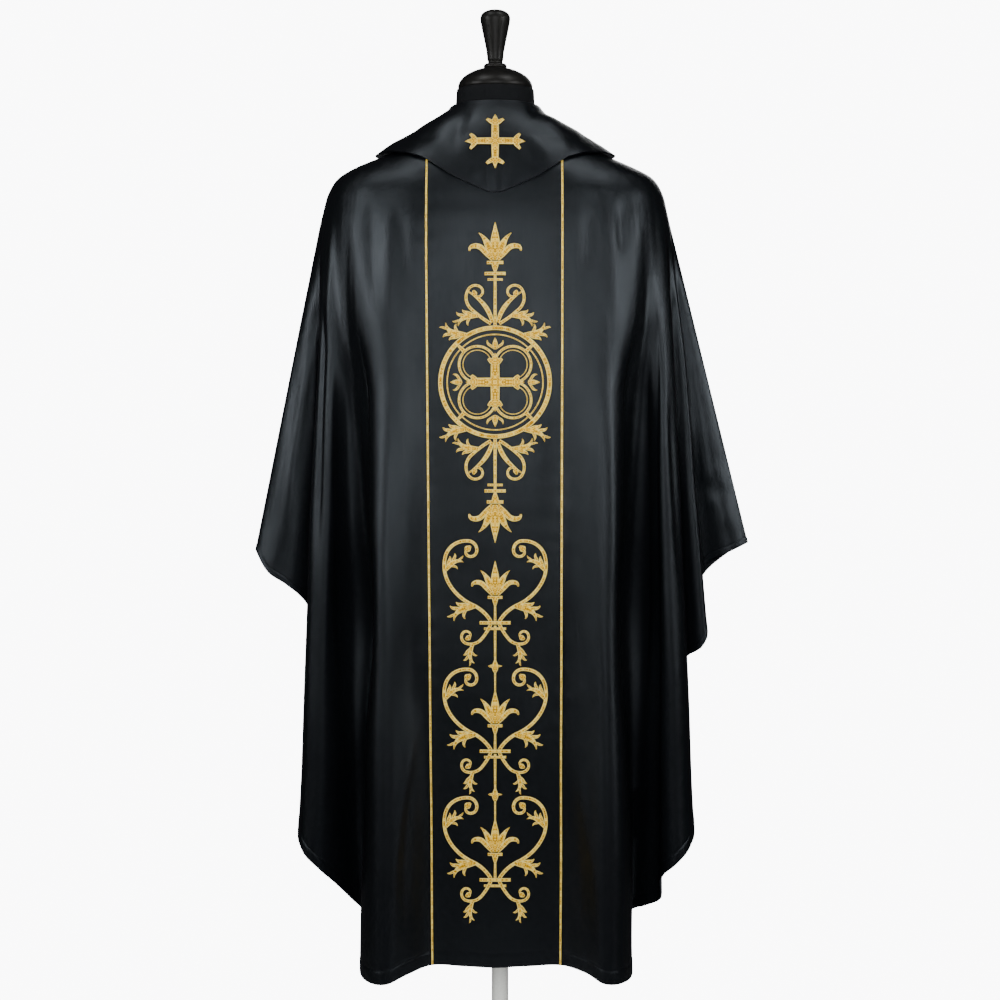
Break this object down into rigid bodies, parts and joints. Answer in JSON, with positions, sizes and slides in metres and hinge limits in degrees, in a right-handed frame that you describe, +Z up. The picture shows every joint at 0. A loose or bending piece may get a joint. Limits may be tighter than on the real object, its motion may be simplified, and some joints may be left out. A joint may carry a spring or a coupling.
{
  "type": "gothic chasuble on a dress form",
  "caption": "Wide black satin chasuble with a pointed collar, gold piping and gold scroll embroidery, hung open-hemmed on a limbless dress form on a round stand.",
  "frame": {"origin": "the middle of the base's underside, on the floor under the pole", "axes": "+Z up, -Y out of the garment's embroidered back, +X to its right as seen from behind"},
  "size_m": [0.731, 0.3871, 1.651],
  "materials": {
    "satin": "black satin with a soft sheen, smooth",
    "jersey": "matt black jersey cover of the dress form",
    "dark_wood": "turned and lacquered, near black",
    "gold_thread": "satin stitch in gold thread",
    "grey_steel": "brushed, grey"
  },
  "bodies": {
    "root": {"chasuble_back": "satin", "chasuble_front": "satin", "orphrey_back": "satin", "orphrey_front": "satin", "piping_back_left": "gold_thread", "piping_back_right": "gold_thread", "piping_front_left": "gold_thread", "piping_front_right": "gold_thread", "collar_back": "satin", "collar_front": "satin", "form_torso": "jersey", "neck_cap": "dark_wood", "finial": "dark_wood", "pole": "grey_steel", "base": "grey_steel", "embroidery_medallion": "gold_thread", "embroidery_scrolls": "gold_thread", "collar_cross": "gold_thread"}
  },
  "joints": []
}
